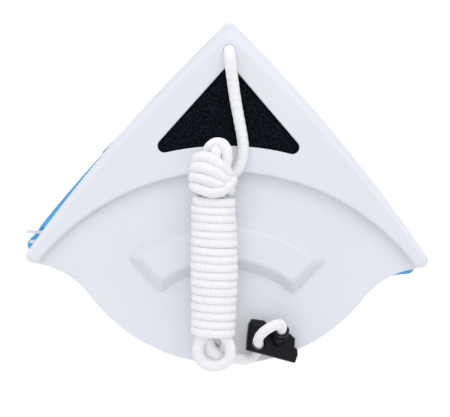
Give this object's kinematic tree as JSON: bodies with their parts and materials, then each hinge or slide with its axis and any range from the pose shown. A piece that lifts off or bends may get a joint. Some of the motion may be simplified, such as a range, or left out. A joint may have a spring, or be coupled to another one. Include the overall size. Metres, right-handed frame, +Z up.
{
  "type": "magnetic glass cleaner",
  "caption": "Two-sided magnetic window cleaner: kite-shaped halves with finger grip, window sponge, squeegees, pads and a wound safety rope with anchor.",
  "frame": {"origin": "middle of the footprint of the two stacked halves, on the surface the inner half lies on", "axes": "+Z up through the stack from the inner half's back to the outer half's back, +Y towards the pointed apex with the rope hole, +X to the right seen from above"},
  "size_m": [0.1735, 0.1479, 0.076],
  "materials": {
    "white_plastic": "glossy",
    "blue_plastic": "glossy",
    "plate_plastic": "satin",
    "magnet": "nickel plated",
    "keeper_steel": "zinc plated",
    "squeegee_rubber": "matt",
    "fleece": "napped",
    "hook_tape": "woven hooks",
    "sponge": "open foam",
    "spacer_foam": "fine closed foam",
    "screw_steel": "plated",
    "rope": "braided",
    "black_plastic": "satin"
  },
  "bodies": {
    "inner_half": {"inner_casing": "blue_plastic", "inner_base_plate": "plate_plastic", "inner_magnets": "magnet", "inner_keeper_plates": "keeper_steel", "inner_right_squeegee": "squeegee_rubber", "inner_left_squeegee": "squeegee_rubber", "inner_upper_pad": "fleece", "inner_lower_pad": "fleece", "inner_upper_hook_tape": "hook_tape", "inner_lower_hook_tape": "hook_tape", "inner_wetting_sponge": "sponge", "inner_screws": "screw_steel"},
    "inner_base_strip": {"inner_base_squeegee": "squeegee_rubber"},
    "spacer": {"storage_spacer": "spacer_foam"},
    "outer_half": {"outer_casing": "white_plastic", "outer_base_plate": "plate_plastic", "outer_magnets": "magnet", "outer_keeper_plates": "keeper_steel", "outer_right_squeegee": "squeegee_rubber", "outer_left_squeegee": "squeegee_rubber", "outer_upper_pad": "fleece", "outer_lower_pad": "fleece", "outer_upper_hook_tape": "hook_tape", "outer_lower_hook_tape": "hook_tape", "outer_wetting_sponge": "sponge", "outer_screws": "screw_steel", "rope_stop_knot": "rope", "rope_lead": "rope", "rope_hank": "rope", "rope_tail": "rope", "rope_anchor": "black_plastic"},
    "outer_base_strip": {"outer_base_squeegee": "squeegee_rubber"}
  },
  "joints": [
    {"name": "swivel", "type": "hinge", "parent": "inner_half", "child": "spacer", "pos_m": [0, 0, 0.0275], "axis": [0, 0, 1], "range_deg": [-25, 25]},
    {"name": "pull_apart", "type": "slide", "parent": "spacer", "child": "outer_half", "axis": [0, 0, 1], "range_m": [0, 0.08]},
    {"name": "outer_base_strip_slide", "type": "slide", "parent": "outer_half", "child": "outer_base_strip", "axis": [1, 0, 0], "range_m": [0, 0.09]},
    {"name": "inner_base_strip_slide", "type": "slide", "parent": "inner_half", "child": "inner_base_strip", "axis": [-0.9989, 0.0462, 0], "range_m": [0, 0.09]}
  ]
}
